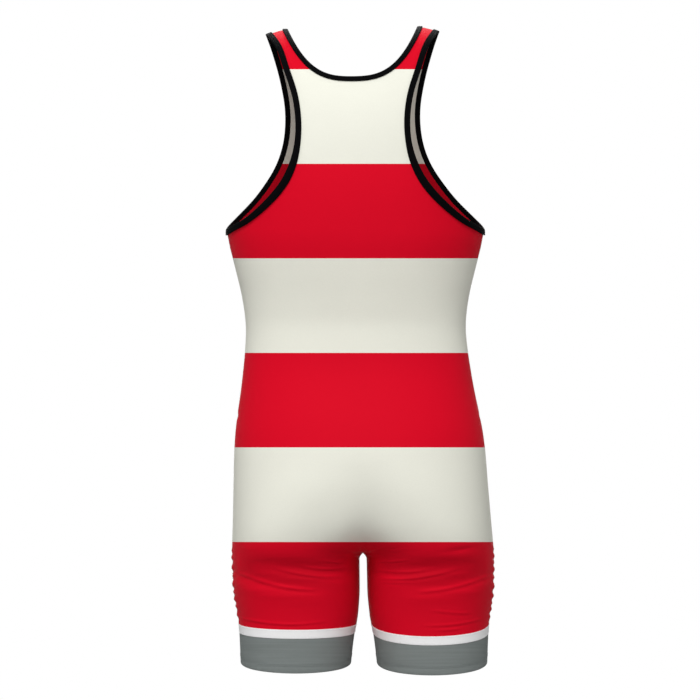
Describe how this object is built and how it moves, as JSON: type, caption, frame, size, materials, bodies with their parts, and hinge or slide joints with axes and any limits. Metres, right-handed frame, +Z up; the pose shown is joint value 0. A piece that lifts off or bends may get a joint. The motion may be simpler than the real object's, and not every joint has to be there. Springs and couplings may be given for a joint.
{
  "type": "athletic singlet",
  "caption": "Wrestling-style singlet in its worn, hollow form: racer back, scooped neck, narrow straps, short legs, bound edges, wide hoops and grey leg bands",
  "frame": {"origin": "midway between the undersides of the two shoulder straps, where they rest on the wearer's shoulders", "axes": "+Z up along the wearer's body, +Y the way the wearer faces, +X the wearer's right"},
  "size_m": [0.3547, 0.237, 0.8575],
  "materials": {
    "back_cloth": "satin stretch knit, printed in red and cream hoops",
    "front_cloth": "satin stretch knit, printed in red and cream hoops",
    "neck_binding": "matte folded knit binding",
    "armhole_binding_left": "matte folded knit binding",
    "armhole_binding_right": "matte folded knit binding",
    "leg_stripe_left": "matte stretch knit",
    "leg_stripe_right": "matte stretch knit",
    "leg_band_left": "matte stretch knit",
    "leg_band_right": "matte stretch knit"
  },
  "bodies": {
    "root": {"back_panel": "back_cloth", "front_panel": "front_cloth", "neck_binding": "neck_binding", "armhole_binding_left": "armhole_binding_left", "armhole_binding_right": "armhole_binding_right", "leg_stripe_left": "leg_stripe_left", "leg_stripe_right": "leg_stripe_right", "leg_band_left": "leg_band_left", "leg_band_right": "leg_band_right"}
  },
  "joints": []
}
